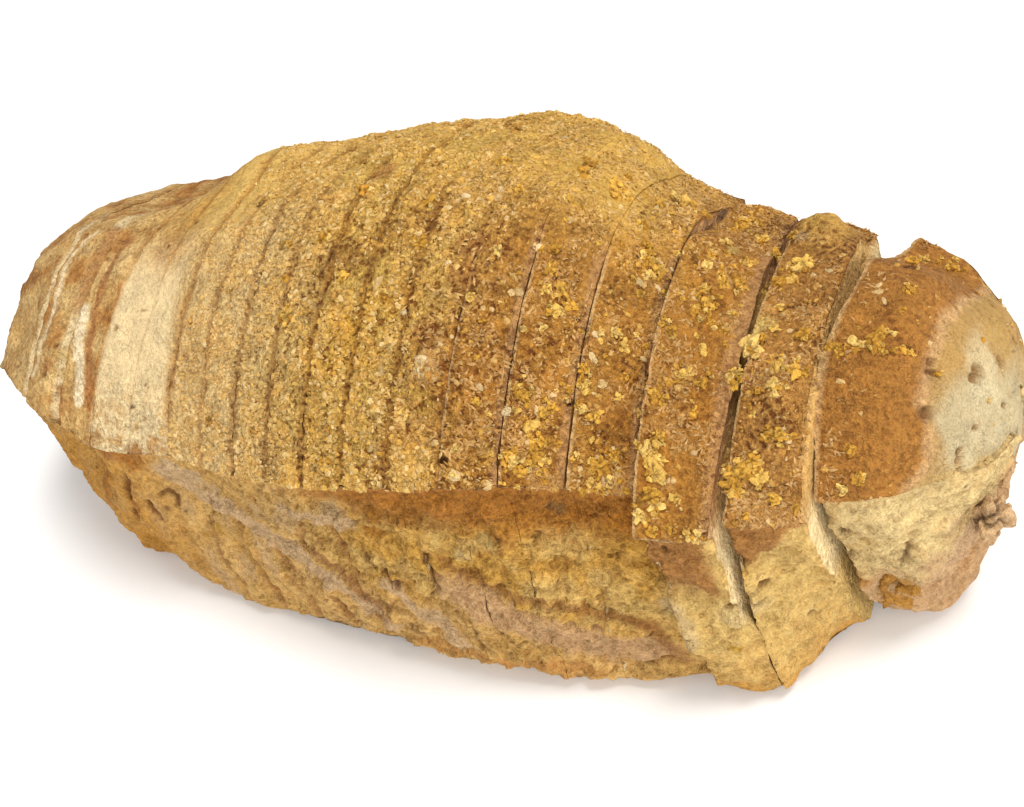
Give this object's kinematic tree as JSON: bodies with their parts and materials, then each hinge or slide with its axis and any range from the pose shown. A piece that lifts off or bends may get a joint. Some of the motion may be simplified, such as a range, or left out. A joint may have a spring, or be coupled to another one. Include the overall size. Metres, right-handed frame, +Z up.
{
  "type": "sliced cornbread loaf",
  "caption": "Rustic oval cornbread loaf cut right through into slices that still stand together, with a browned domed crown, cornmeal and corn crumbs on top and a torn pale foot.",
  "frame": {"origin": "centre of the bounding box in X and Y, at the underside the loaf rests on", "axes": "+X along the loaf towards the fanned end, +Y towards its back, +Z up"},
  "size_m": [0.2584, 0.1246, 0.0954],
  "materials": {
    "crust": "dry browned bread crust, rough and mealy",
    "pale_crust": "dry pale bread skin, floury"
  },
  "bodies": {
    "root": {"slice_01": "crust", "slice_02": "crust", "slice_03": "crust", "slice_04": "pale_crust", "slice_05": "pale_crust", "slice_06": "crust", "slice_07": "crust", "slice_08": "crust", "slice_09": "crust", "slice_10": "crust", "slice_11": "crust", "slice_12": "crust", "slice_13": "crust", "slice_14": "crust", "slice_15": "crust", "slice_16": "crust", "slice_17": "crust", "slice_18": "crust"}
  },
  "joints": []
}
